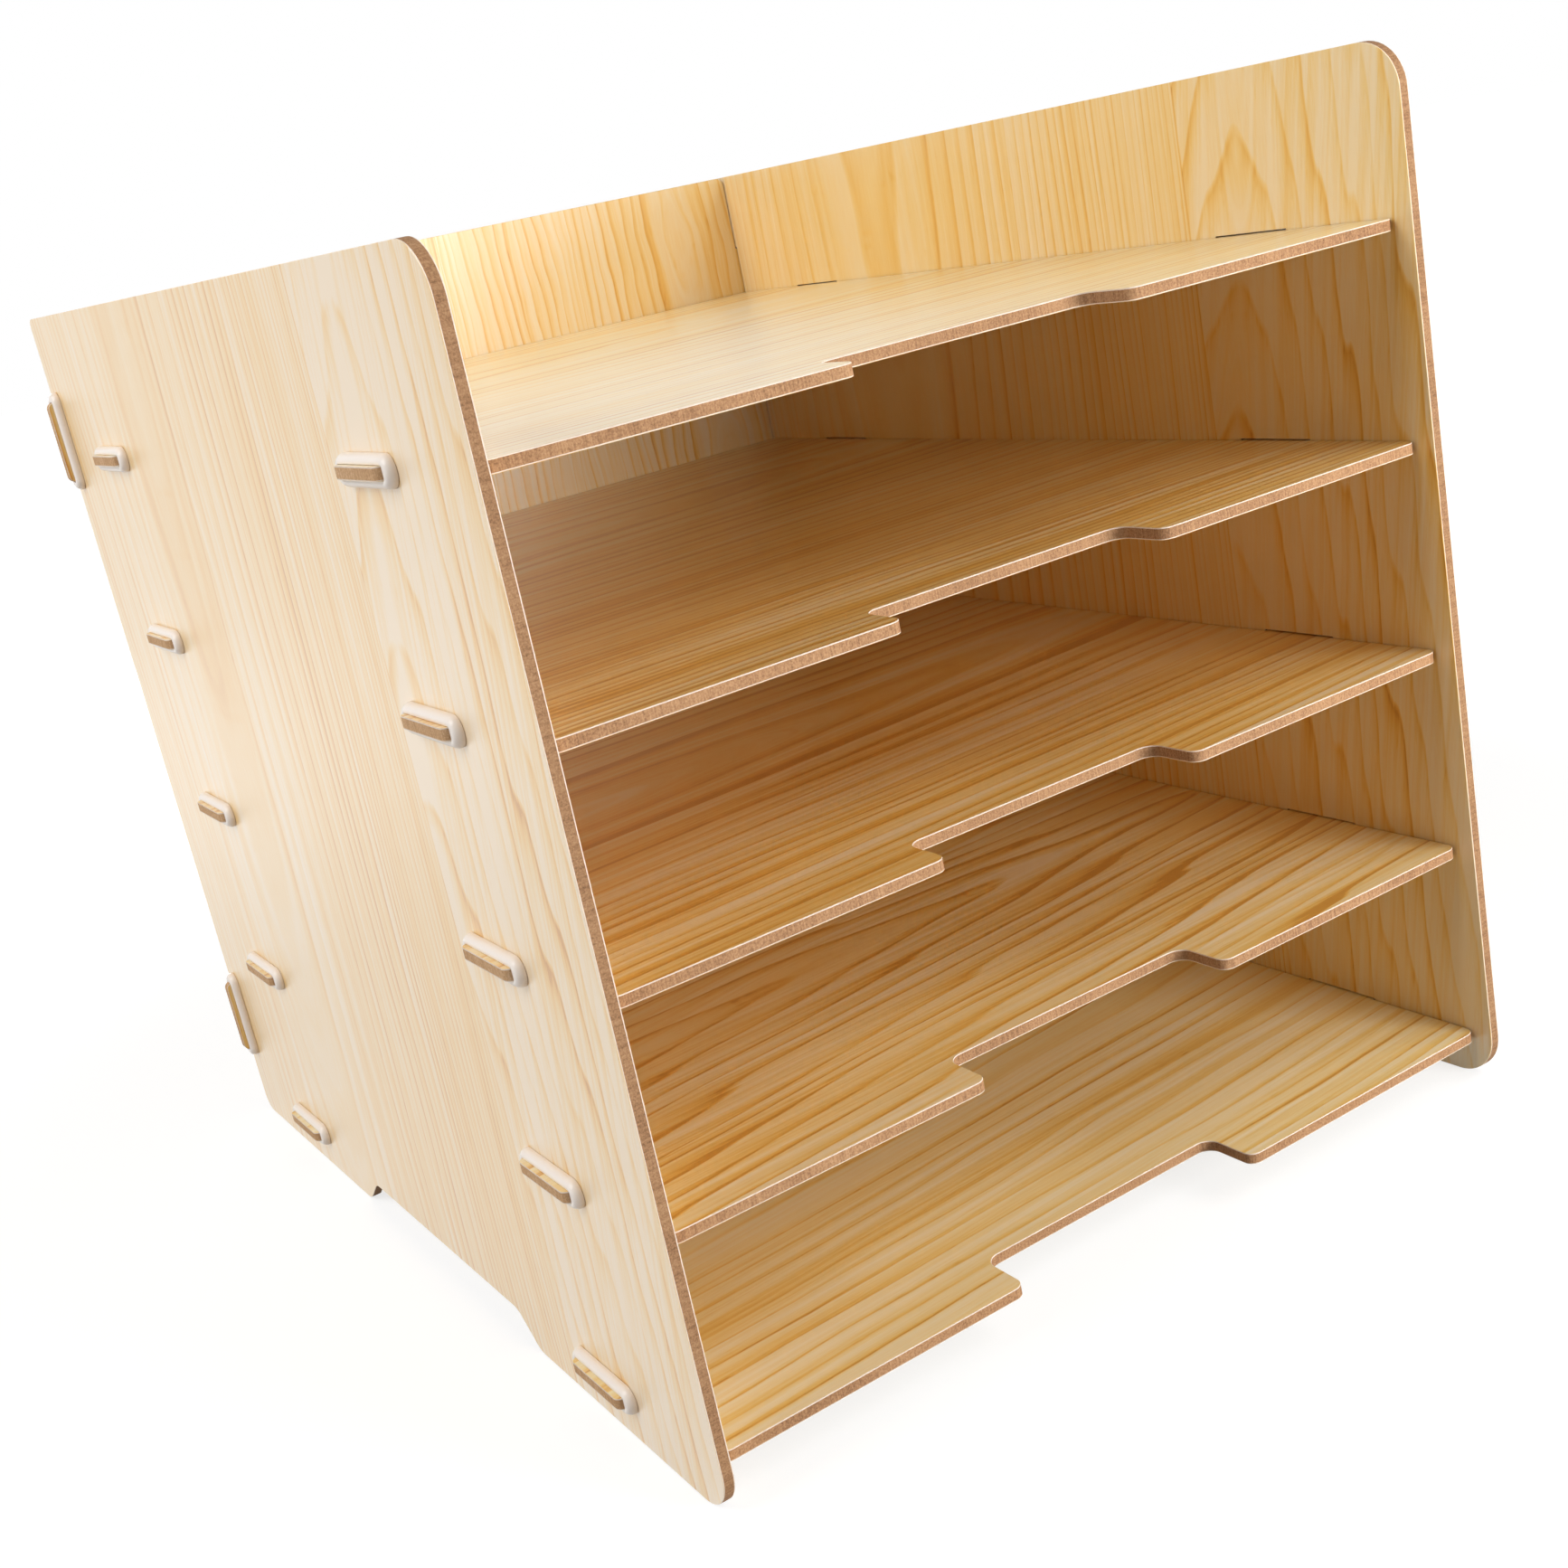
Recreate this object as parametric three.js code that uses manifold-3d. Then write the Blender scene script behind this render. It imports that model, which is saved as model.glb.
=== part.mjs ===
// Desk file sorter: flat boards that slot together, held by push-on locking collars.
// Millimetres, +Z up, +X to the right, the open front towards -Y.
// The origin lies on the desk under the middle of the sorter.
import * as THREE from 'three';
import { mergeVertices } from 'three/addons/utils/BufferGeometryUtils.js';
import Module from 'manifold-3d';

const wasm = await Module();
wasm.setup();

// Side boards
const BOARD = 3;
const OUTER_WIDTH = 255;
const SIDE_DEPTH = 322;
const SIDE_HEIGHT = 275;
const FRONT_CORNER_RADIUS = 12;
const TOP_REAR_RADIUS = 3;
const BOTTOM_REAR_RADIUS = 5;
const FOOT_HEIGHT = 8.4;
const FRONT_FOOT_LENGTH = 97.5;
const REAR_FOOT_LENGTH = 101.5;
const SHOULDER_RUN = 10;
const SHOULDER_RADIUS = 6;

// Shelves, counted from the top
const SHELF_COUNT = 5;
const TRAY_HEIGHT = 41.5;
const LOWEST_SHELF_TOP = 13.5;
const SHELF_SETBACK = 5;
const SHELF_CORNER_RADIUS = 3;
const CUTOUT_LENGTH = 75.5;
const CUTOUT_DEPTH = 16;
const CUTOUT_INNER_RADIUS = 4;
const CUTOUT_LIP_RADIUS = 3;

// Back board, set in from the rear edges of the side boards
const BACK_INSET = 5;
const BACK_CORNER_RADIUS = 3;

// Tabs, which pass through slots in the side boards
const TAB_LENGTH = 25;
const TAB_PROJECTION = 3.7;
const TAB_CORNER_RADIUS = 2;
const SHELF_TAB_INSET = 49;
const BACK_TAB_INSET = 38;

// Locking collars, one round each tab end
const COLLAR_WALL = 2.2;
const COLLAR_END_WALL = 2.8;
const COLLAR_CROWN_INSET = 1.3;
const COLLAR_HEIGHT = 2.3;
const COLLAR_SKIRT = 0.5;
const COLLAR_END_FLAT = 0.5;
const COLLAR_HOLE_RADIUS = 0.8;
const COLLAR_CORNER_STEPS = 4;

// Clearances
const EDGE_GAP = 0.3;
const SLOT_GAP = 0.3;
const COLLAR_GAP = 0.3;
const SEAT_GAP = 0.1;

const ARC_DIVISIONS = 4;

// Places that several pieces share
const innerWidth = OUTER_WIDTH - 2 * BOARD;
const insertWidth = innerWidth - 2 * EDGE_GAP;
const tabReach = BOARD + EDGE_GAP + TAB_PROJECTION;
const frontY = -SIDE_DEPTH / 2;
const backRearY = SIDE_DEPTH / 2 - BACK_INSET;
const shelfFrontY = frontY + SHELF_SETBACK;
const shelfDepth = backRearY - BOARD - EDGE_GAP - shelfFrontY;
const shelfTabYs = [shelfFrontY + SHELF_TAB_INSET, shelfFrontY + shelfDepth - SHELF_TAB_INSET];
const backTabZs = [SIDE_HEIGHT - BACK_TAB_INSET, BACK_TAB_INSET];
const shelfPitch = (SIDE_HEIGHT - TRAY_HEIGHT - LOWEST_SHELF_TOP) / (SHELF_COUNT - 1);
const shelfTops = [];
for (let tier = SHELF_COUNT - 1; tier >= 0; tier -= 1) {
  shelfTops.push(LOWEST_SHELF_TOP + tier * shelfPitch);
}

// Draws a closed outline through corners [x, y, radius], each rounded by its radius. An arc is joined to
// what comes before it by a straight line.
function roundedOutline(path, corners) {
  corners.forEach(([x, y, radius = 0], index) => {
    const corner = new THREE.Vector2(x, y);
    const before = corners[(index + corners.length - 1) % corners.length];
    const after = corners[(index + 1) % corners.length];
    const toBefore = new THREE.Vector2(before[0], before[1]).sub(corner).normalize();
    const toAfter = new THREE.Vector2(after[0], after[1]).sub(corner).normalize();
    if (radius === 0) {
      if (index === 0) path.moveTo(x, y);
      else path.lineTo(x, y);
      return;
    }
    const halfAngle = Math.acos(toBefore.dot(toAfter)) / 2;
    const reach = radius / Math.tan(halfAngle);
    const toCentre = toBefore.clone().add(toAfter).normalize();
    const centre = corner.clone().addScaledVector(toCentre, radius / Math.sin(halfAngle));
    const start = corner.clone().addScaledVector(toBefore, reach).sub(centre);
    const end = corner.clone().addScaledVector(toAfter, reach).sub(centre);
    const startAngle = Math.atan2(start.y, start.x);
    const endAngle = Math.atan2(end.y, end.x);
    const clockwise = toBefore.cross(toAfter) > 0;
    path.absarc(centre.x, centre.y, radius, startAngle, endAngle, clockwise);
  });
  path.closePath();
  return path;
}

// Corners of a tab that stands out of a straight edge at `edge`, towards `side`, centred at `middle`.
function tabCorners(edge, middle, side) {
  const tip = edge + side * tabReach;
  const half = TAB_LENGTH / 2 * side;
  return [
    [edge, middle - half],
    [tip, middle - half, TAB_CORNER_RADIUS],
    [tip, middle + half, TAB_CORNER_RADIUS],
    [edge, middle + half],
  ];
}

// Cuts a board of the common thickness to an outline.
function cutBoard(outline) {
  return new THREE.ExtrudeGeometry(outline, {
    depth: BOARD,
    bevelEnabled: false,
    curveSegments: ARC_DIVISIONS,
  });
}

// A closed mesh as a solid that can be cut.
function solidFrom(geometry) {
  const bare = geometry.clone();
  bare.deleteAttribute('normal');
  bare.deleteAttribute('uv');
  const merged = mergeVertices(bare);
  return new wasm.Manifold(new wasm.Mesh({
    numProp: 3,
    vertProperties: merged.attributes.position.array,
    triVerts: merged.index.array,
  }));
}

// Cuts every one of the cutters out of a piece.
function cutAway(geometry, cutters) {
  let solid = solidFrom(geometry);
  for (const cutter of cutters) {
    solid = solid.subtract(solidFrom(cutter));
  }
  const mesh = solid.getMesh();
  const result = new THREE.BufferGeometry();
  result.setAttribute('position', new THREE.BufferAttribute(mesh.vertProperties, 3));
  result.setIndex(new THREE.BufferAttribute(mesh.triVerts, 1));
  return result;
}

// A block that cuts one slot through a side board, centred at (x, y) of the board's drawing.
function slotCutter(length, height, x, y) {
  return new THREE.BoxGeometry(length, height, 3 * BOARD).translate(x, y, BOARD / 2);
}

// Side board, drawn with its front edge at x = 0 and its feet on y = 0.
function sideBoardGeometry() {
  const frontFootEnd = FRONT_FOOT_LENGTH;
  const rearFootStart = SIDE_DEPTH - REAR_FOOT_LENGTH;
  const outline = roundedOutline(new THREE.Shape(), [
    [0, 0, FRONT_CORNER_RADIUS],
    [frontFootEnd, 0, SHOULDER_RADIUS],
    [frontFootEnd + SHOULDER_RUN, FOOT_HEIGHT, SHOULDER_RADIUS],
    [rearFootStart - SHOULDER_RUN, FOOT_HEIGHT, SHOULDER_RADIUS],
    [rearFootStart, 0, SHOULDER_RADIUS],
    [SIDE_DEPTH, 0, BOTTOM_REAR_RADIUS],
    [SIDE_DEPTH, SIDE_HEIGHT, TOP_REAR_RADIUS],
    [0, SIDE_HEIGHT, FRONT_CORNER_RADIUS],
  ]);
  const slotLength = TAB_LENGTH + 2 * SLOT_GAP;
  const slotWidth = BOARD + 2 * SLOT_GAP;
  const slots = [];
  for (const top of shelfTops) {
    for (const tabY of shelfTabYs) {
      slots.push(slotCutter(slotLength, slotWidth, tabY - frontY, top - BOARD / 2));
    }
  }
  for (const tabZ of backTabZs) {
    slots.push(slotCutter(slotWidth, slotLength, backRearY - BOARD / 2 - frontY, tabZ));
  }
  return cutAway(cutBoard(outline), slots);
}

// Shelf, drawn in plan, with a finger cut-out in the middle of its front edge.
function shelfGeometry() {
  const halfWidth = insertWidth / 2;
  const halfCutout = CUTOUT_LENGTH / 2;
  const rearY = shelfFrontY + shelfDepth;
  const [frontTabY, rearTabY] = shelfTabYs;
  return cutBoard(roundedOutline(new THREE.Shape(), [
    [-halfWidth, shelfFrontY, SHELF_CORNER_RADIUS],
    [-halfCutout, shelfFrontY, CUTOUT_LIP_RADIUS],
    [-halfCutout, shelfFrontY + CUTOUT_DEPTH, CUTOUT_INNER_RADIUS],
    [halfCutout, shelfFrontY + CUTOUT_DEPTH, CUTOUT_INNER_RADIUS],
    [halfCutout, shelfFrontY, CUTOUT_LIP_RADIUS],
    [halfWidth, shelfFrontY, SHELF_CORNER_RADIUS],
    ...tabCorners(halfWidth, frontTabY, 1),
    ...tabCorners(halfWidth, rearTabY, 1),
    [halfWidth, rearY],
    [-halfWidth, rearY],
    ...tabCorners(-halfWidth, rearTabY, -1),
    ...tabCorners(-halfWidth, frontTabY, -1),
  ]));
}

// Back board, drawn from the front. Its lower edge is level with the arches between the feet.
function backBoardGeometry() {
  const halfWidth = insertWidth / 2;
  const [upperTabZ, lowerTabZ] = backTabZs;
  return cutBoard(roundedOutline(new THREE.Shape(), [
    [-halfWidth, FOOT_HEIGHT],
    [halfWidth, FOOT_HEIGHT],
    ...tabCorners(halfWidth, lowerTabZ, 1),
    ...tabCorners(halfWidth, upperTabZ, 1),
    [halfWidth, SIDE_HEIGHT, BACK_CORNER_RADIUS],
    [-halfWidth, SIDE_HEIGHT, BACK_CORNER_RADIUS],
    ...tabCorners(-halfWidth, upperTabZ, -1),
    ...tabCorners(-halfWidth, lowerTabZ, -1),
  ]));
}

// Points round a rounded rectangle at height z, as many in each corner, so that rings can be joined.
function collarRing(halfLength, halfWidth, radius, z) {
  const ring = [];
  const corners = [[1, 1], [-1, 1], [-1, -1], [1, -1]];
  corners.forEach(([signX, signY], quarter) => {
    for (let step = 0; step <= COLLAR_CORNER_STEPS; step += 1) {
      const angle = (quarter + step / COLLAR_CORNER_STEPS) * Math.PI / 2;
      ring.push(new THREE.Vector3(
        signX * (halfLength - radius) + radius * Math.cos(angle),
        signY * (halfWidth - radius) + radius * Math.sin(angle),
        z,
      ));
    }
  });
  return ring;
}

// Locking collar, lying flat with its tab hole along x: a short skirt, a slope up to the crown, and the hole.
function collarGeometry() {
  const outerRing = (inset, z) => {
    const halfLength = TAB_LENGTH / 2 + COLLAR_END_WALL - inset;
    const halfWidth = BOARD / 2 + COLLAR_WALL - inset;
    return collarRing(halfLength, halfWidth, halfWidth - COLLAR_END_FLAT, z);
  };
  const holeRing = (z) => collarRing(
    TAB_LENGTH / 2 + COLLAR_GAP,
    BOARD / 2 + COLLAR_GAP,
    COLLAR_HOLE_RADIUS,
    z,
  );
  const rings = [
    outerRing(0, 0),
    outerRing(0, COLLAR_SKIRT),
    outerRing(COLLAR_CROWN_INSET, COLLAR_HEIGHT),
    holeRing(COLLAR_HEIGHT),
    holeRing(0),
  ];
  const count = rings[0].length;
  const indices = [];
  rings.forEach((ring, index) => {
    const lower = index * count;
    const upper = ((index + 1) % rings.length) * count;
    for (let point = 0; point < count; point += 1) {
      const next = (point + 1) % count;
      indices.push(lower + point, lower + next, upper + next);
      indices.push(lower + point, upper + next, upper + point);
    }
  });
  const geometry = new THREE.BufferGeometry().setFromPoints(rings.flat());
  geometry.setIndex(indices);
  geometry.computeVertexNormals();
  return geometry;
}

const sideFilm = { color: 0xead9bc, roughness: 0.42, metalness: 0 };
const shelfFilm = { color: 0xdcb87c, roughness: 0.4, metalness: 0 };
const backFilm = { color: 0xe0b878, roughness: 0.42, metalness: 0 };
const frostedPlastic = { color: 0xe6dfdf, roughness: 0.5, metalness: 0 };

function addPiece(parent, name, geometry, finish) {
  const mesh = new THREE.Mesh(geometry, new THREE.MeshStandardMaterial(finish));
  mesh.name = name;
  parent.add(mesh);
  return mesh;
}

const sorter = new THREE.Group();

// Side boards stand on edge: drawn x runs to the rear, drawn y up, and the thickness along X.
for (const [name, innerFace] of [['left', -OUTER_WIDTH / 2], ['right', OUTER_WIDTH / 2 - BOARD]]) {
  const board = addPiece(sorter, `${name}_side_board`, sideBoardGeometry(), sideFilm);
  board.rotation.set(Math.PI / 2, Math.PI / 2, 0);
  board.position.set(innerFace, frontY, 0);
}

// The back board's thickness runs forward from its rear face.
const backBoard = addPiece(sorter, 'back_board', backBoardGeometry(), backFilm);
backBoard.rotation.x = Math.PI / 2;
backBoard.position.y = backRearY;

shelfTops.forEach((top, index) => {
  const shelf = addPiece(sorter, `shelf_${index + 1}`, shelfGeometry(), shelfFilm);
  shelf.position.z = top - BOARD;
});

// Each side carries its collars on the outer face of its board, in a group turned to face outwards.
for (const [name, side] of [['left', -1], ['right', 1]]) {
  const outerFace = new THREE.Group();
  outerFace.position.x = side * (OUTER_WIDTH / 2 + SEAT_GAP);
  outerFace.rotation.y = side * Math.PI / 2;
  sorter.add(outerFace);
  const addCollar = (place, y, z, upright) => {
    const collar = addPiece(outerFace, `collar_${name}_${place}`, collarGeometry(), frostedPlastic);
    collar.position.set(-side * z, y, 0);
    collar.rotation.z = upright ? 0 : Math.PI / 2;
  };
  shelfTops.forEach((top, index) => {
    addCollar(`shelf_${index + 1}_front`, shelfTabYs[0], top - BOARD / 2, false);
    addCollar(`shelf_${index + 1}_rear`, shelfTabYs[1], top - BOARD / 2, false);
  });
  addCollar('back_upper', backRearY - BOARD / 2, backTabZs[0], true);
  addCollar('back_lower', backRearY - BOARD / 2, backTabZs[1], true);
}

export default sorter;
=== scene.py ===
from math import hypot, pi, radians, tan
from typing import NamedTuple

import bmesh
import bpy
from mathutils import Matrix, Vector


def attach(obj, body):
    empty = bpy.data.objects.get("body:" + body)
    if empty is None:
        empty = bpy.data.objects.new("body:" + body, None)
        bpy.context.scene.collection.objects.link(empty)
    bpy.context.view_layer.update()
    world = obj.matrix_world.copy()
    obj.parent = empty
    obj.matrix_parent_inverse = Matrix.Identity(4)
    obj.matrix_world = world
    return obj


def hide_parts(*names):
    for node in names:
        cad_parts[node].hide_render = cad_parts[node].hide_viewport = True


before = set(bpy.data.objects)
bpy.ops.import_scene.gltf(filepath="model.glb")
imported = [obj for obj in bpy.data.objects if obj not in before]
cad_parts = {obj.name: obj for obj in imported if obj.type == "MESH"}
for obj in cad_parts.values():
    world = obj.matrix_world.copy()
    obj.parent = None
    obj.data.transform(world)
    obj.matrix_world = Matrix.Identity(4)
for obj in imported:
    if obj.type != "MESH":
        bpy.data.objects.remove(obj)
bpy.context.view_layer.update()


# Left side board: 3 mm fibreboard with pine-look film pressed on both faces, routed to its outline with
# a shallow arch between two feet and twelve slots. It stands on edge and carries one end of every shelf.
MM = 0.001
BOARD = 3.0 * MM
FILM = 0.28 * MM
RIM = 0.1 * MM
OUTER_WIDTH = 255 * MM
SIDE_DEPTH = 322 * MM
SIDE_HEIGHT = 275 * MM
FRONT_CORNER = 12 * MM
TOP_REAR_CORNER = 3 * MM
BOTTOM_REAR_CORNER = 5 * MM
FOOT_HEIGHT = 8.4 * MM
FRONT_FOOT = 97.5 * MM
REAR_FOOT = 101.5 * MM
SHOULDER_RUN = 10 * MM
SHOULDER_ROUND = 6 * MM
SHOULDER_TURN = 40.0
SHELF_TOPS = [top * MM for top in (233.5, 178.5, 123.5, 68.5, 13.5)]
SHELF_TAB_YS = [-107 * MM, 103.7 * MM]
BACK_TAB_ZS = [237 * MM, 38 * MM]
BACK_REAR_Y = 156 * MM
TAB_LENGTH = 25 * MM
SLOT_PLAY = 0.3 * MM
NEAR = 0.01 * MM
SAW_SNAP = 1e-7
INK_TONES = (0.0, 0.3, 0.6, 0.85, 1.0)
SIDE_INKS = (
    (0.925, 0.74, 0.46), (0.905, 0.645, 0.27), (0.87, 0.53, 0.13), (0.80, 0.42, 0.07), (0.68, 0.31, 0.04))
# The left board's own inks: the side board's print with a pinker, bluer palest ink, a painted sheen of the
# bright light on its outer face.
LEFT_SHEEN_INKS = (
    (0.93, 0.735, 0.505), (0.91, 0.64, 0.305), (0.875, 0.53, 0.15), (0.80, 0.42, 0.08), (0.68, 0.31, 0.04))


def node(tree, kind, inputs=None, **settings):
    """Adds a shader node. An input is a number, a colour, or another node's output."""
    made = tree.nodes.new(kind)
    for name, value in settings.items():
        setattr(made, name, value)
    for name, value in (inputs or {}).items():
        socket = made.inputs[name]
        if isinstance(value, bpy.types.NodeSocket):
            tree.links.new(value, socket)
        else:
            socket.default_value = value
    return made


def calc(tree, operation, *values, clamp=False):
    """One sum on numbers or outputs."""
    made = node(tree, "ShaderNodeMath", dict(enumerate(values)), operation=operation)
    made.use_clamp = clamp
    return made.outputs[0]


def cloud(tree, place, size, detail=2.0, roughness=0.5):
    """Soft noise from 0 to 1 whose patches are about `size` mm across, along and through the grain."""
    scaled = node(tree, "ShaderNodeVectorMath", {0: place, 1: [1 / s for s in size]}, operation="MULTIPLY")
    made = node(tree, "ShaderNodeTexNoise",
                {"Vector": scaled.outputs[0], "Scale": 1.0, "Detail": detail, "Roughness": roughness})
    return made.outputs["Fac"]


def blend_of(tree, tone, stops):
    """A colour that runs through the stops, each a position from 0 to 1 and a colour."""
    made = node(tree, "ShaderNodeValToRGB", {"Fac": tone})
    held = made.color_ramp.elements
    held[0].position, held[1].position = stops[0][0], stops[-1][0]
    held[0].color, held[1].color = (*stops[0][1], 1), (*stops[-1][1], 1)
    for position, colour in stops[1:-1]:
        held.new(position).color = (*colour, 1)
    return made.outputs["Color"]


def bare_finish(name):
    """A new material and its node tree, with nothing in it yet."""
    finish = bpy.data.materials.new(name)
    finish.use_nodes = True
    finish.node_tree.nodes.clear()
    return finish, finish.node_tree


def in_millimetres(tree):
    """The place on the piece, in mm."""
    place = node(tree, "ShaderNodeTexCoord").outputs["Object"]
    scaled = node(tree, "ShaderNodeVectorMath", {0: place, 1: (1 / MM, 1 / MM, 1 / MM)}, operation="MULTIPLY")
    return scaled.outputs[0]


class Plank(NamedTuple):
    """One plank of the printed pine, cut from a log of its own. Lengths are in mm."""
    seed: int
    pith: float  # where the log's heart lies across the face
    depth: float  # how far under the face it lies
    ring: float  # how wide a year is, RING_AT from the heart
    crowd: float  # how the years narrow outwards
    waver: float  # how unruly the grain is
    strength: float  # how heavy the print is
    ground: float  # how dark the wood between the lines is
    start: float = -200  # where the plank begins across the face
    lean: float = 0  # how the heart drifts along the grain
    taper: float = 0  # how its depth changes along the grain
    climb: float = 0  # how many years the log gains per mm along the grain
    quiet: float = 400  # the place across the face beyond which the years are faint


RING_AT = 50.0


def plank_facts(tree, across, planks):
    """The facts that shape the print, each a number that steps at every joint to the next plank's value."""
    facts = {}
    for fact in [field for field in Plank._fields if field != "start"]:
        value = getattr(planks[0], fact)
        for before, plank in zip(planks, planks[1:]):
            beyond = calc(tree, "GREATER_THAN", across, plank.start)
            value = calc(tree, "MULTIPLY_ADD", beyond, getattr(plank, fact) - getattr(before, fact), value)
        facts[fact] = value
    return facts


def log_behind(tree, fact, across, along, grain):
    """How far the log's heart lies from a place on the face: sideways and straight. Third comes the slow sway
    of the grain, which the streaks follow too."""
    def wander(size, reach, detail=2.0):
        return calc(tree, "MULTIPLY", calc(tree, "SUBTRACT", cloud(tree, grain, size, detail), 0.5), reach)

    sway = wander((70, 260, 10), 16.0)
    waver = calc(tree, "MULTIPLY", wander((16, 34, 10), 4.0), fact["waver"])
    swell = calc(tree, "MULTIPLY", wander((60, 120, 10), 24.0, 3.0), fact["waver"])
    pith = calc(tree, "MULTIPLY_ADD", along, fact["lean"], fact["pith"])
    sideways = calc(tree, "ADD", calc(tree, "SUBTRACT", across, pith), calc(tree, "ADD", sway, waver))
    depth = calc(tree, "MULTIPLY_ADD", along, fact["taper"], calc(tree, "ADD", fact["depth"], swell))
    radius = calc(tree, "SQRT", calc(tree, "ADD", calc(tree, "MULTIPLY", sideways, sideways),
                                     calc(tree, "MULTIPLY", depth, depth)))
    return sideways, radius, sway


def year_lines(tree, fact, across, along, grain, own, sideways, radius):
    """The late wood of the years, from 0 to about 1. Each year darkens slowly and ends in a sharp line. Years
    differ in width and strength, lines fade here and there, and right over the heart they are faint."""
    decade = calc(tree, "ADD", calc(tree, "DIVIDE", radius, 15.0), own)
    season = node(tree, "ShaderNodeTexNoise", {"W": decade, "Scale": 1.0, "Detail": 1.5},
                  noise_dimensions="1D").outputs["Fac"]
    outwards = calc(tree, "POWER", calc(tree, "DIVIDE", radius, RING_AT), fact["crowd"])
    count = calc(tree, "DIVIDE", RING_AT, calc(tree, "MULTIPLY", fact["crowd"], fact["ring"]))
    grown = calc(tree, "MULTIPLY_ADD", along, fact["climb"], calc(tree, "MULTIPLY", outwards, count))
    years = calc(tree, "MULTIPLY_ADD", season, 1.6, grown)
    through = calc(tree, "FRACT", years)
    vigour = node(tree, "ShaderNodeTexWhiteNoise",
                  {"W": calc(tree, "MULTIPLY_ADD", own, 3.7, calc(tree, "FLOOR", years))},
                  noise_dimensions="1D").outputs["Value"]

    line_end = 0.92
    slow = calc(tree, "MULTIPLY", calc(tree, "POWER", through, 2.6), 0.6)
    quick = calc(tree, "MULTIPLY", calc(tree, "POWER", through, 9.0), 0.5)
    ended = calc(tree, "MAXIMUM", calc(tree, "SUBTRACT", through, line_end), 0.0)
    close = calc(tree, "SUBTRACT", 1.0, calc(tree, "MULTIPLY", ended, 1 / (1 - line_end)), clamp=True)
    line = calc(tree, "MULTIPLY", calc(tree, "ADD", slow, quick), close)

    bold = calc(tree, "MULTIPLY_ADD", cloud(tree, grain, (45, 160, 10)), 1.2, 0.15, clamp=True)
    past_quiet = calc(tree, "DIVIDE", calc(tree, "SUBTRACT", across, fact["quiet"]), 20.0, clamp=True)
    bold = calc(tree, "MULTIPLY", bold, calc(tree, "MULTIPLY_ADD", past_quiet, -0.3, 1.0))
    steep = calc(tree, "DIVIDE", calc(tree, "ABSOLUTE", sideways), calc(tree, "MULTIPLY", radius, 0.35),
                 clamp=True)
    bold = calc(tree, "MULTIPLY", bold, calc(tree, "MULTIPLY_ADD", steep, 0.55, 0.45))
    strong = calc(tree, "MULTIPLY", calc(tree, "MULTIPLY_ADD", vigour, 0.6, 0.4), bold)
    return calc(tree, "MULTIPLY", line, strong)


def pine_film(name, across_axis, along_axis, planks, seed, inks, weight):
    """Satin film printed with pine planks side by side, with a thin dark line at each joint. The inks run
    from the pale spring wood to the darkest line, and `weight` is how heavy the whole print is. Boards 10 mm
    or more apart get prints of their own."""
    film, tree = bare_finish(name)
    axes = node(tree, "ShaderNodeSeparateXYZ", {0: in_millimetres(tree)}).outputs
    across, along, through = axes[across_axis], axes[along_axis], axes[3 - across_axis - along_axis]
    fact = plank_facts(tree, across, planks)
    board = calc(tree, "MULTIPLY", calc(tree, "ROUND", calc(tree, "DIVIDE", through, 10.0)), 7.3)
    own = calc(tree, "ADD", calc(tree, "ADD", fact["seed"], seed), board)
    apart = calc(tree, "MULTIPLY", own, 10.0)
    grain = node(tree, "ShaderNodeCombineXYZ", {0: across, 1: along, 2: apart}).outputs[0]
    sideways, radius, sway = log_behind(tree, fact, across, along, grain)
    latewood = year_lines(tree, fact, across, along, grain, own, sideways, radius)

    swayed = calc(tree, "ADD", radius, sway)
    ringwise = node(tree, "ShaderNodeCombineXYZ", {0: swayed, 1: along, 2: apart}).outputs[0]
    streak = cloud(tree, ringwise, (1.6, 140, 10), 3.0, 0.6)
    fibre = cloud(tree, grain, (0.45, 9, 10), 2.0, 0.6)
    band = cloud(tree, ringwise, (13, 400, 10), 2.0)
    duct = calc(tree, "SUBTRACT", cloud(tree, ringwise, (0.8, 7, 10), 1.0), 0.62)
    duct = calc(tree, "MULTIPLY", calc(tree, "MULTIPLY", duct, 7.0, clamp=True),
                calc(tree, "MULTIPLY_ADD", latewood, 0.8, 0.1))
    tone = 0.0
    for layer, middle, share in ((latewood, 0.0, 1.5), (duct, 0.0, 0.6), (fibre, 0.5, 0.3),
                                 (streak, 0.5, 1.2), (band, 0.5, 0.75)):
        tone = calc(tree, "MULTIPLY_ADD", calc(tree, "SUBTRACT", layer, middle), share * weight, tone)
    tone = calc(tree, "MULTIPLY_ADD", tone, fact["strength"], fact["ground"], clamp=True)

    joint_reach, joint_ink = 0.5, 0.45
    for plank in planks[1:]:
        off = calc(tree, "ABSOLUTE", calc(tree, "SUBTRACT", across, plank.start))
        joint = calc(tree, "SUBTRACT", 1.0, calc(tree, "DIVIDE", off, joint_reach), clamp=True)
        tone = calc(tree, "MULTIPLY_ADD", joint, joint_ink, tone, clamp=True)

    relief = node(tree, "ShaderNodeBump", {"Height": fibre, "Strength": 0.3, "Distance": 0.1 * MM})
    shader = node(tree, "ShaderNodeBsdfPrincipled", {
        "Base Color": blend_of(tree, tone, list(zip(INK_TONES, inks))),
        "Roughness": calc(tree, "MULTIPLY_ADD", fibre, 0.16, 0.24), "IOR": 1.5,
        "Coat Weight": 1.0, "Coat Roughness": 0.3, "Normal": relief.outputs[0]})
    node(tree, "ShaderNodeOutputMaterial", {"Surface": shader.outputs[0]})
    return film


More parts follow.
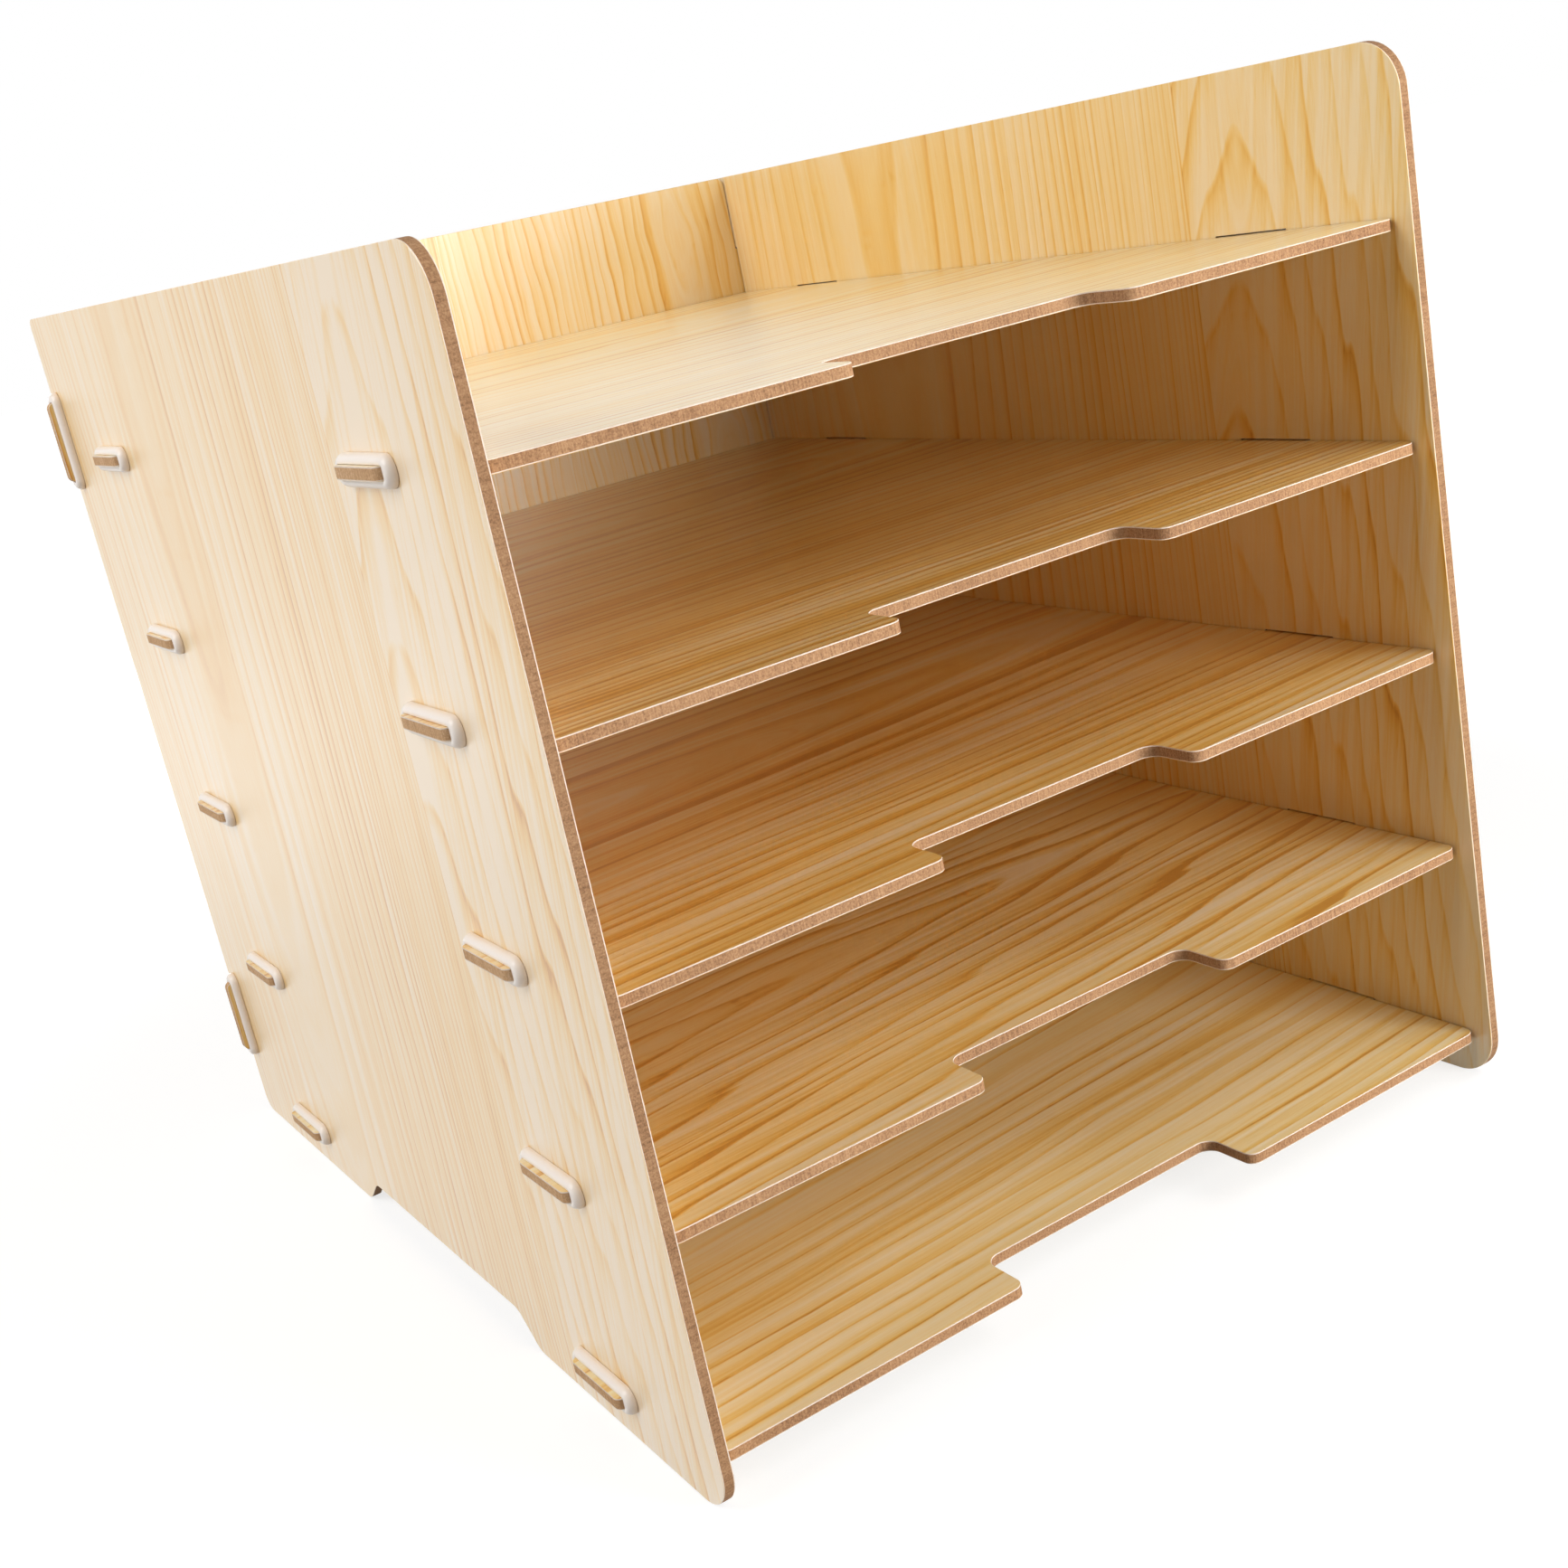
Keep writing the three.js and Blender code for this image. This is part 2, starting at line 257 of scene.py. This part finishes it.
def fibreboard(name, thickness_axis, shade):
    """Routed edge of the fibreboard: pressed brown fibres, with faint marks of the cutter through the board.
    It is paler on the tab ends outside the side boards: painted light on them."""
    core, tree = bare_finish(name)
    place = in_millimetres(tree)
    specks = cloud(tree, place, (0.45, 0.45, 0.45), 4.0, 0.7)
    marks_size = [0.5, 0.5, 0.5]
    marks_size[thickness_axis] = 12
    marks = cloud(tree, place, marks_size, 2.0, 0.6)
    stain = cloud(tree, place, (18, 18, 18), 2.0)
    tone = calc(tree, "ADD", calc(tree, "MULTIPLY", specks, 0.6),
                calc(tree, "ADD", calc(tree, "MULTIPLY", marks, 0.3), calc(tree, "MULTIPLY", stain, 0.2)))
    from_middle = calc(tree, "ABSOLUTE", node(tree, "ShaderNodeSeparateXYZ", {0: place}).outputs[0])
    # The tab ends outside the side boards are painted paler: painted light on them.
    painted_light_on_tab_ends = calc(tree, "GREATER_THAN", from_middle, OUTER_WIDTH / 2 / MM + 0.1)
    tone = calc(tree, "MULTIPLY_ADD", painted_light_on_tab_ends, 0.2, calc(tree, "SUBTRACT", tone, 0.05), clamp=True)
    browns = ((0.32, (0.165, 0.075, 0.034)), (0.5, (0.395, 0.21, 0.10)),
              (0.72, (0.60, 0.365, 0.19)), (1.0, (0.92, 0.70, 0.50)))
    relief = node(tree, "ShaderNodeBump", {"Height": tone, "Strength": 0.5, "Distance": 0.1 * MM})
    shader = node(tree, "ShaderNodeBsdfPrincipled", {
        "Base Color": blend_of(tree, tone, [(at, Vector(brown) * shade) for at, brown in browns]),
        "Roughness": 0.8, "Specular IOR Level": 0.3, "Normal": relief.outputs[0]})
    node(tree, "ShaderNodeOutputMaterial", {"Surface": shader.outputs[0]})
    return core


film_edge, tree = bare_finish("film_edge")
edge_tone = cloud(tree, in_millimetres(tree), (1.5, 1.5, 1.5), 3.0, 0.6)
edge_colour = blend_of(tree, edge_tone, ((0.0, (0.62, 0.48, 0.37)), (1.0, (0.88, 0.78, 0.67))))
shader = node(tree, "ShaderNodeBsdfPrincipled", {"Base Color": edge_colour, "Roughness": 0.6})
node(tree, "ShaderNodeOutputMaterial", {"Surface": shader.outputs[0]})


def lay_blank(name, low, high):
    """Lays a flat blank between two corners of a drawing on the XY plane, and opens it for cutting."""
    bpy.ops.object.select_all(action="DESELECT")
    middle = [(a + b) / 2 for a, b in zip(low, high)]
    bpy.ops.mesh.primitive_plane_add(size=1.0, location=(*middle, 0))
    blank = bpy.context.active_object
    blank.name = blank.data.name = name
    blank.scale = (high[0] - low[0], high[1] - low[1], 1)
    bpy.ops.object.transform_apply(location=True, rotation=True, scale=True)
    bpy.ops.object.mode_set(mode="EDIT")
    return blank


def pick(blank, kind, test):
    """Selects only the vertices, edges or faces whose middle passes the test."""
    bpy.ops.mesh.select_mode(type=kind)
    bpy.ops.mesh.select_all(action="DESELECT")
    drawing = bmesh.from_edit_mesh(blank.data)
    if kind == "VERT":
        found = [v for v in drawing.verts if test(v.co)]
    elif kind == "EDGE":
        found = [e for e in drawing.edges if test((e.verts[0].co + e.verts[1].co) / 2)]
    else:
        found = [f for f in drawing.faces if test(f.calc_center_median())]
    for item in found:
        item.select_set(True)
    drawing.select_flush_mode()
    bmesh.update_edit_mesh(blank.data)
    return len(found)


def score(across, at):
    """Scores a straight line right over the selected faces: axis 0 for a line at x, axis 1 for one at y."""
    normal = (1, 0, 0) if across == 0 else (0, 1, 0)
    bpy.ops.mesh.bisect(plane_co=[at * n for n in normal], plane_no=normal, threshold=SAW_SNAP)


def heal():
    """Takes scored lines that bound nothing out again, so that a corner is a bare corner."""
    bpy.ops.mesh.select_all(action="SELECT")
    bpy.ops.mesh.dissolve_limited(angle_limit=radians(0.5))


def cut_window(blank, low, high):
    """Saws a rectangle out of the blank."""
    for axis in (0, 1):
        for at in (low[axis], high[axis]):
            bpy.ops.mesh.select_all(action="SELECT")
            score(axis, at)
    pick(blank, "FACE", lambda m: low[0] < m.x < high[0] and low[1] < m.y < high[1])
    bpy.ops.mesh.delete(type="FACE")


def round_corner(blank, x, y, radius, turn=90.0, steps=8):
    """Rounds one bare corner of the outline, where the outline turns by that many degrees."""
    if pick(blank, "VERT", lambda m: abs(m.x - x) < NEAR and abs(m.y - y) < NEAR) != 1:
        raise ValueError(f"{blank.name}: no bare corner at {x:.4f}, {y:.4f}")
    bpy.ops.mesh.bevel(offset=radius * tan(radians(turn) / 2), segments=steps, affect="VERTICES",
                       clamp_overlap=False)


def laminate(board, finish):
    """Builds the cut outline up from film, fibreboard and film, and breaks the sharp rims a little."""
    bpy.ops.mesh.select_mode(type="FACE")
    bpy.ops.mesh.select_all(action="SELECT")
    for layer in (FILM, BOARD - 2 * FILM, FILM):
        bpy.ops.mesh.extrude_region_move(TRANSFORM_OT_translate={"value": (0, 0, layer)})
    bpy.ops.mesh.select_all(action="SELECT")
    bpy.ops.mesh.normals_make_consistent(inside=False)
    drawing = bmesh.from_edit_mesh(board.data)
    bpy.ops.mesh.select_mode(type="EDGE")
    bpy.ops.mesh.select_all(action="DESELECT")
    for face in drawing.faces:
        middle = face.calc_center_median().z
        face.material_index = 0 if abs(face.normal.z) > 0.9 else 2 if FILM < middle < BOARD - FILM else 1
    for edge in drawing.edges:
        if len({face.material_index for face in edge.link_faces} & {0, 1}) == 2:
            edge.select_set(True)
    bmesh.update_edit_mesh(board.data)
    bpy.ops.mesh.bevel(offset=RIM, segments=1, affect="EDGES", material=1)
    bpy.ops.object.mode_set(mode="OBJECT")
    for material in finish:
        board.data.materials.append(material)
    bpy.ops.object.shade_smooth_by_angle(angle=radians(25))


def stand(piece, placed):
    """Puts a finished piece in its place, with the place in its mesh."""
    piece.matrix_world = placed
    bpy.ops.object.select_all(action="DESELECT")
    piece.select_set(True)
    bpy.context.view_layer.objects.active = piece
    bpy.ops.object.transform_apply(location=True, rotation=True, scale=True)


def side_board(name, finish):
    """Draws, cuts and laminates a side board: x runs from the front edge to the rear, y up."""
    board = lay_blank(name, (0, 0), (SIDE_DEPTH, SIDE_HEIGHT))
    arch_front, arch_rear = FRONT_FOOT + SHOULDER_RUN, SIDE_DEPTH - REAR_FOOT - SHOULDER_RUN
    cut_window(board, (arch_front, -MM), (arch_rear, FOOT_HEIGHT))
    for foot_end, arch_end in ((FRONT_FOOT, arch_front), (SIDE_DEPTH - REAR_FOOT, arch_rear)):
        middle = (foot_end + arch_end) / 2
        bpy.ops.mesh.select_all(action="SELECT")
        score(0, foot_end)
        pick(board, "FACE", lambda m: abs(m.x - middle) < SHOULDER_RUN / 2 and m.y < FOOT_HEIGHT)
        slope = Vector((FOOT_HEIGHT, -(arch_end - foot_end), 0))
        bpy.ops.mesh.bisect(plane_co=(foot_end, 0, 0), plane_no=slope, threshold=SAW_SNAP)
        pick(board, "FACE", lambda m: abs(m.x - middle) < SHOULDER_RUN / 2 and m.y < FOOT_HEIGHT
             and (m.x - foot_end) / (arch_end - foot_end) > m.y / FOOT_HEIGHT)
        bpy.ops.mesh.delete(type="FACE")
    heal()
    for x, y, radius in ((0, 0, FRONT_CORNER), (0, SIDE_HEIGHT, FRONT_CORNER),
                         (SIDE_DEPTH, 0, BOTTOM_REAR_CORNER), (SIDE_DEPTH, SIDE_HEIGHT, TOP_REAR_CORNER)):
        round_corner(board, x, y, radius, steps=12)
    for foot_end, arch_end in ((FRONT_FOOT, arch_front), (SIDE_DEPTH - REAR_FOOT, arch_rear)):
        round_corner(board, foot_end, 0, SHOULDER_ROUND, turn=SHOULDER_TURN, steps=5)
        round_corner(board, arch_end, FOOT_HEIGHT, SHOULDER_ROUND, turn=SHOULDER_TURN, steps=5)
    half_slot = TAB_LENGTH / 2 + SLOT_PLAY
    half_thick = BOARD / 2 + SLOT_PLAY
    slots = [(y + SIDE_DEPTH / 2, top - BOARD / 2, half_slot, half_thick)
             for top in SHELF_TOPS for y in SHELF_TAB_YS]
    slots += [(BACK_REAR_Y - BOARD / 2 + SIDE_DEPTH / 2, z, half_thick, half_slot) for z in BACK_TAB_ZS]
    for x, y, half_x, half_y in slots:
        cut_window(board, (x - half_x, y - half_y), (x + half_x, y + half_y))
    heal()
    laminate(board, finish)
    return board


side_planks = [
    Plank(seed=3, pith=-62, depth=8, ring=7.8, crowd=1.1, waver=0.4, strength=0.9, ground=0.08,
          lean=-0.17, climb=0.027),
    Plank(seed=8, pith=65, depth=79, ring=9, crowd=2.3, waver=0.12, strength=0.72, ground=0.19,
          start=-84.7, lean=-0.012, taper=-0.02, quiet=72),
]
left_planks = [plank._replace(ground=ground) for plank, ground in zip(side_planks, (0.04, 0.26))]
# The left film is printed in the inks that carry the painted sheen.
left_film = pine_film("pine_film_left", 1, 2, left_planks, seed=0, inks=LEFT_SHEEN_INKS, weight=1.35)
side_core = fibreboard("fibreboard_sides", 0, shade=0.85)
upright = Matrix(((0, 0, 1, 0), (1, 0, 0, -SIDE_DEPTH / 2), (0, 1, 0, 0), (0, 0, 0, 1)))
left_side = side_board("pine_left_side", (left_film, film_edge, side_core))
stand(left_side, Matrix.Translation((-OUTER_WIDTH / 2, 0, 0)) @ upright)
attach(left_side, "root")
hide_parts("left_side_board")


# Right side board: the same board on the other side, with the same slots and feet. Its film has the same
# print, fainter and without the left board's painted pink sheen.
right_film = pine_film("pine_film_right", 1, 2, side_planks, seed=0, inks=SIDE_INKS, weight=1.0)
right_side = side_board("pine_right_side", (right_film, film_edge, side_core))
stand(right_side, Matrix.Translation((OUTER_WIDTH / 2 - BOARD, 0, 0)) @ upright)
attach(right_side, "root")
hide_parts("right_side_board")


# Back board: the same filmed fibreboard with its grain upright. It stands between the side boards, a little
# in from their rear edges, and two tabs on each edge pass through their slots.
BOARD_PLAY = 0.3 * MM
TAB_REACH = 7.0 * MM
TAB_ROUND = 2.0 * MM
BACK_CORNER = 3 * MM
FITTED_HALF_WIDTH = OUTER_WIDTH / 2 - BOARD - BOARD_PLAY


def draw_tabs(board, middles):
    """Draws tabs out of the left and right edges of an outline, each with two rounded corners."""
    for middle in middles:
        for at in (middle - TAB_LENGTH / 2, middle + TAB_LENGTH / 2):
            bpy.ops.mesh.select_all(action="SELECT")
            score(1, at)
    for side in (-1, 1):
        for middle in middles:
            pick(board, "EDGE", lambda m: abs(m.x - side * FITTED_HALF_WIDTH) < NEAR
                 and abs(m.y - middle) < 10 * NEAR)
            bpy.ops.mesh.extrude_edges_move(TRANSFORM_OT_translate={"value": (side * TAB_REACH, 0, 0)})
    heal()
    for side in (-1, 1):
        for middle in middles:
            for end in (-TAB_LENGTH / 2, TAB_LENGTH / 2):
                round_corner(board, side * (FITTED_HALF_WIDTH + TAB_REACH), middle + end, TAB_ROUND)


back_planks = [
    Plank(seed=5, pith=-30, depth=30, ring=5, crowd=1.2, waver=0.6, strength=1.8, ground=0.15, taper=0.05),
    Plank(seed=2, pith=108, depth=6, ring=3.6, crowd=1.1, waver=1.0, strength=0.8, ground=0.15,
          start=8, lean=-0.02, taper=0.02),
]
back = lay_blank("pine_back", (-FITTED_HALF_WIDTH, FOOT_HEIGHT), (FITTED_HALF_WIDTH, SIDE_HEIGHT))
draw_tabs(back, BACK_TAB_ZS)
for side in (-1, 1):
    round_corner(back, side * FITTED_HALF_WIDTH, SIDE_HEIGHT, BACK_CORNER)
back_film = pine_film("pine_film_back", 0, 2, back_planks, seed=11, inks=SIDE_INKS, weight=1.0)
laminate(back, (back_film, film_edge, fibreboard("fibreboard_back", 1, shade=1.0)))
stand(back, Matrix(((1, 0, 0, 0), (0, 0, -1, BACK_REAR_Y), (0, 1, 0, 0), (0, 0, 0, 1))))
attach(back, "root")
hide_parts("back_board")


# Shelves: five boards of the same filmed fibreboard, with the grain from side to side. Each has a wide finger
# cut-out in its front edge, and two tabs at each end that pass through the side boards.
SHELF_FRONT = -156 * MM
SHELF_REAR = 152.7 * MM
SHELF_CORNER = 3 * MM
CUTOUT_HALF = 37.75 * MM
CUTOUT_DEPTH = 16 * MM
CUTOUT_INNER = 4 * MM
CUTOUT_LIP = 3 * MM
shelf_core = fibreboard("fibreboard_shelves", 2, shade=1.0)
RICH_INKS = (
    (0.925, 0.735, 0.44), (0.905, 0.64, 0.26), (0.865, 0.52, 0.125), (0.79, 0.41, 0.07), (0.66, 0.31, 0.045))
PALE_INKS = (
    (0.93, 0.80, 0.54), (0.91, 0.72, 0.37), (0.875, 0.60, 0.20), (0.80, 0.47, 0.11), (0.65, 0.325, 0.065))
# How far each shelf's inks go from the rich ones towards the pale ones: a painted sheen on the top shelf and
# the two lowest, where their light is brightest.
shelf_sheen_share = (1.0, 0.0, 0.0, 0.5, 1.0)
shelf_planks = [
    Plank(seed=1, pith=60, depth=24, ring=10, crowd=1.7, waver=0.5, strength=1.6, ground=0.1,
          lean=0.05, taper=0.05),
    Plank(seed=4, pith=70, depth=30, ring=11, crowd=1.9, waver=0.5, strength=2.0, ground=0.28,
          lean=0.03, taper=0.05),
    Plank(seed=6, pith=-27, depth=16, ring=8, crowd=1.5, waver=0.35, strength=1.35, ground=0.27,
          lean=0.06, taper=0.06),
    Plank(seed=12, pith=-62, depth=8, ring=7.5, crowd=1.1, waver=0.3, strength=1.2, ground=0.25,
          lean=0.052, climb=0.013),
    Plank(seed=7, pith=-20, depth=20, ring=9.5, crowd=1.4, waver=0.4, strength=1.0, ground=0.2,
          lean=0.06, taper=0.08),
]
for tier, (top, plank, pale) in enumerate(zip(SHELF_TOPS, shelf_planks, shelf_sheen_share), start=1):
    shelf = lay_blank(f"pine_shelf_{tier}",
                      (-FITTED_HALF_WIDTH, SHELF_FRONT), (FITTED_HALF_WIDTH, SHELF_REAR))
    cut_window(shelf, (-CUTOUT_HALF, SHELF_FRONT - MM), (CUTOUT_HALF, SHELF_FRONT + CUTOUT_DEPTH))
    heal()
    draw_tabs(shelf, SHELF_TAB_YS)
    for side in (-1, 1):
        round_corner(shelf, side * FITTED_HALF_WIDTH, SHELF_FRONT, SHELF_CORNER)
        round_corner(shelf, side * CUTOUT_HALF, SHELF_FRONT, CUTOUT_LIP)
        round_corner(shelf, side * CUTOUT_HALF, SHELF_FRONT + CUTOUT_DEPTH, CUTOUT_INNER)
    # Paler inks paint a sheen on the shelves with the brighter light.
    inks = [Vector(rich).lerp(Vector(light), pale) for rich, light in zip(RICH_INKS, PALE_INKS)]
    film = pine_film(f"pine_film_shelf_{tier}", 1, 0, [plank], seed=20 + tier, inks=inks, weight=1.0)
    laminate(shelf, (film, film_edge, shelf_core))
    stand(shelf, Matrix.Translation((0, 0, top - BOARD)))
    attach(shelf, "root")
    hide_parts(f"shelf_{tier}")


# Locking collars: small frosted plastic rings, one pressed over every tab end against the outer face of a
# side board. Each has a short upright skirt, a rounded slope and a narrow crown with a lip that grips the
# tab.
COLLAR_SEAT = 0.1 * MM
COLLAR_HEIGHT = 2.3 * MM
collar_rings = [  # half length, half width, corner radius and height of each level, in mm
    (12.8, 1.8, 0.8, 0.0),
    (15.3, 3.7, 3.65, 0.0),
    (15.3, 3.7, 3.65, 0.5),
    (15.22, 3.62, 3.57, 0.95),
    (15.0, 3.4, 3.35, 1.45),
    (14.65, 3.05, 3.0, 1.9),
    (14.25, 2.65, 2.6, 2.2),
    (13.8, 2.35, 2.2, 2.3),
    (13.1, 1.98, 1.4, 2.28),
    (12.62, 1.62, 0.5, 2.2),
    (12.56, 1.56, 0.4, 1.9),
]
frosted, tree = bare_finish("frosted_collar")
place = in_millimetres(tree)
haze = cloud(tree, place, (1.2, 1.2, 1.2), 3.0, 0.6)
from_middle = calc(tree, "ABSOLUTE", node(tree, "ShaderNodeSeparateXYZ", {0: place}).outputs[0])
thick = calc(tree, "DIVIDE", calc(tree, "SUBTRACT", from_middle, OUTER_WIDTH / 2 / MM), COLLAR_HEIGHT / MM)
tone = calc(tree, "MULTIPLY_ADD", calc(tree, "SUBTRACT", haze, 0.5), 0.5, thick)
clear_over_pine = blend_of(
    tree, tone, ((0.0, (0.90, 0.75, 0.60)), (0.45, (0.94, 0.83, 0.73)), (1.0, (0.96, 0.88, 0.81))))
relief = node(tree, "ShaderNodeBump", {"Height": cloud(tree, place, (0.12, 0.12, 0.12), 2.0),
                                       "Strength": 0.15, "Distance": 0.05 * MM})
shader = node(tree, "ShaderNodeBsdfPrincipled", {
    "Base Color": clear_over_pine, "Roughness": calc(tree, "MULTIPLY_ADD", haze, 0.2, 0.35),
    "IOR": 1.49, "Coat Weight": 0.4, "Normal": relief.outputs[0]})
node(tree, "ShaderNodeOutputMaterial", {"Surface": shader.outputs[0]})


def ring_outline(name, half_length, half_width, radius, height):
    """Draws one level of the collar: a rectangle with rounded corners."""
    ring = lay_blank(name, (-half_length, -half_width), (half_length, half_width))
    for x in (-half_length, half_length):
        for y in (-half_width, half_width):
            round_corner(ring, x, y, radius, steps=7)
    bpy.ops.mesh.select_all(action="SELECT")
    bpy.ops.transform.translate(value=(0, 0, height))
    bpy.ops.mesh.delete(type="ONLY_FACE")
    bpy.ops.object.mode_set(mode="OBJECT")
    return ring


def on_ring(m, half_length, half_width, radius, height):
    """Whether an edge with its middle at `m` lies in that level's outline, given in mm."""
    x = abs(m.x) / MM - half_length + radius
    y = abs(m.y) / MM - half_width + radius
    off = hypot(max(x, 0), max(y, 0)) + min(max(x, y), 0) - radius
    return abs(off) < 0.05 and abs(m.z / MM - height) < 0.005


levels = [ring_outline(f"collar_level_{index}", *[value * MM for value in ring])
          for index, ring in enumerate(collar_rings)]
bpy.ops.object.select_all(action="DESELECT")
for level in levels:
    level.select_set(True)
bpy.context.view_layer.objects.active = levels[0]
bpy.ops.object.join()
collar = levels[0]
collar.name = collar.data.name = "collar_model"
bpy.ops.object.mode_set(mode="EDIT")
for lower, upper in zip(collar_rings, collar_rings[1:] + collar_rings[:1]):
    pick(collar, "EDGE", lambda m: on_ring(m, *lower) or on_ring(m, *upper))
    bpy.ops.mesh.bridge_edge_loops()
bpy.ops.mesh.select_all(action="SELECT")
bpy.ops.mesh.normals_make_consistent(inside=False)
bpy.ops.object.mode_set(mode="OBJECT")
collar.data.materials.append(frosted)
bpy.ops.object.shade_smooth_by_angle(angle=radians(50))


def press_on(name, side, y, z, upright_tab):
    """Presses a copy of the collar over a tab end."""
    piece = collar.copy()
    piece.data = collar.data.copy()
    piece.name = piece.data.name = f"locking_{name}"
    bpy.context.scene.collection.objects.link(piece)
    facing = Matrix.Rotation(side * pi / 2, 4, "Y")
    turned = Matrix.Identity(4) if upright_tab else Matrix.Rotation(pi / 2, 4, "Z")
    stand(piece, Matrix.Translation((side * (OUTER_WIDTH / 2 + COLLAR_SEAT), y, z)) @ facing @ turned)
    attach(piece, "root")
    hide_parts(name)


for side, side_name in ((-1, "left"), (1, "right")):
    for tier, top in enumerate(SHELF_TOPS, start=1):
        for y, end in zip(SHELF_TAB_YS, ("front", "rear")):
            press_on(f"collar_{side_name}_shelf_{tier}_{end}", side, y, top - BOARD / 2, False)
    for z, end in zip(BACK_TAB_ZS, ("upper", "lower")):
        press_on(f"collar_{side_name}_back_{end}", side, BACK_REAR_Y - BOARD / 2, z, True)
bpy.data.objects.remove(collar)


# Floor: a wide pale sheet that the sorter stands on. It shines a little for straight rays, so that it is
# nearly white to the camera and in reflections, and less so under the sorter, where its shadow shows.
FLOOR_SIZE = 14.0
FLOOR_GAP = 0.2 * MM


def straight_rays(tree):
    """1 for rays from the camera, in reflections and through clear things, and 0 for light on the object."""
    seen_by = node(tree, "ShaderNodeLightPath").outputs
    mirrored = calc(tree, "MAXIMUM", seen_by["Is Glossy Ray"], seen_by["Is Transmission Ray"])
    return calc(tree, "MAXIMUM", seen_by["Is Camera Ray"], mirrored)


bpy.ops.object.select_all(action="DESELECT")
bpy.ops.mesh.primitive_plane_add(size=FLOOR_SIZE, location=(0, 0, -FLOOR_GAP))
floor = bpy.context.active_object
floor.name = "floor"
paper, tree = bare_finish("pale_floor")
matt = node(tree, "ShaderNodeBsdfDiffuse", {"Color": (0.35, 0.35, 0.35, 1)})
away = node(tree, "ShaderNodeVectorMath", {0: node(tree, "ShaderNodeTexCoord").outputs["Object"]},
            operation="LENGTH").outputs["Value"]
brighter = node(tree, "ShaderNodeMapRange",
                {"Value": away, "From Min": 0.25, "From Max": 0.75, "To Min": 0.75, "To Max": 1.0},
                interpolation_type="SMOOTHSTEP").outputs[0]
glow = node(tree, "ShaderNodeEmission",
            {"Color": (1, 1, 1, 1), "Strength": calc(tree, "MULTIPLY", straight_rays(tree), brighter)})
both = node(tree, "ShaderNodeAddShader", {0: matt.outputs[0], 1: glow.outputs[0]})
node(tree, "ShaderNodeOutputMaterial", {"Surface": both.outputs[0]})
floor.data.materials.append(paper)


# Studio: a white room that is faint as a light, and five soft white lamps aimed at the middle of the sorter.
# The camera stands where the perspective of the photograph puts it.
ROOM_LIGHT = 0.14
world = bpy.data.worlds.new("studio")
bpy.context.scene.world = world
world.use_nodes = True
tree = world.node_tree
tree.nodes.clear()
strength = calc(tree, "MULTIPLY_ADD", straight_rays(tree), 1 - ROOM_LIGHT, ROOM_LIGHT)
room = node(tree, "ShaderNodeBackground", {"Color": (1, 1, 1, 1), "Strength": strength})
node(tree, "ShaderNodeOutputWorld", {"Surface": room.outputs[0]})

aim = Vector((0, 0, 0.13))
lamps = [  # name, place, width and height in metres, power in watts
    ("high_left_lamp", (-1.0, 0.1, 1.1), (0.8, 0.8), 10.5),
    ("high_front_lamp", (0.7, -0.9, 1.1), (0.8, 0.8), 7.9),
    ("near_lamp", (0.25, -0.8, 0.2), (0.3, 0.3), 5.6),
    ("low_left_lamp", (-1.3, 0.1, 0.15), (0.8, 0.8), 3.6),
    ("back_lamp", (0.22, 1.1, 0.16), (0.5, 0.28), 4.5),
]
for name, place, size, power in lamps:
    bpy.ops.object.light_add(type="AREA", location=place)
    lamp = bpy.context.active_object
    lamp.name = name
    lamp.data.energy = power
    lamp.data.shape = "RECTANGLE"
    lamp.data.size, lamp.data.size_y = size
    lamp.rotation_euler = (aim - Vector(place)).to_track_quat("-Z", "Y").to_euler()

bpy.ops.object.camera_add()
camera = bpy.context.active_object
camera.data.sensor_width = 36
camera.data.lens = 45.517
camera.data.shift_x = -0.00455
camera.data.shift_y = 0.01698
camera.data.clip_start = 0.01
camera.matrix_world = Matrix(((0.82426763, 0.32135055, -0.46617238, -0.268377),
                              (-0.53218255, 0.15862709, -0.83163645, -0.502111),
                              (-0.19329926, 0.93357981, 0.30176833, 0.272738),
                              (0, 0, 0, 1)))
bpy.context.scene.camera = camera
bpy.context.scene.view_settings.view_transform = "Standard"
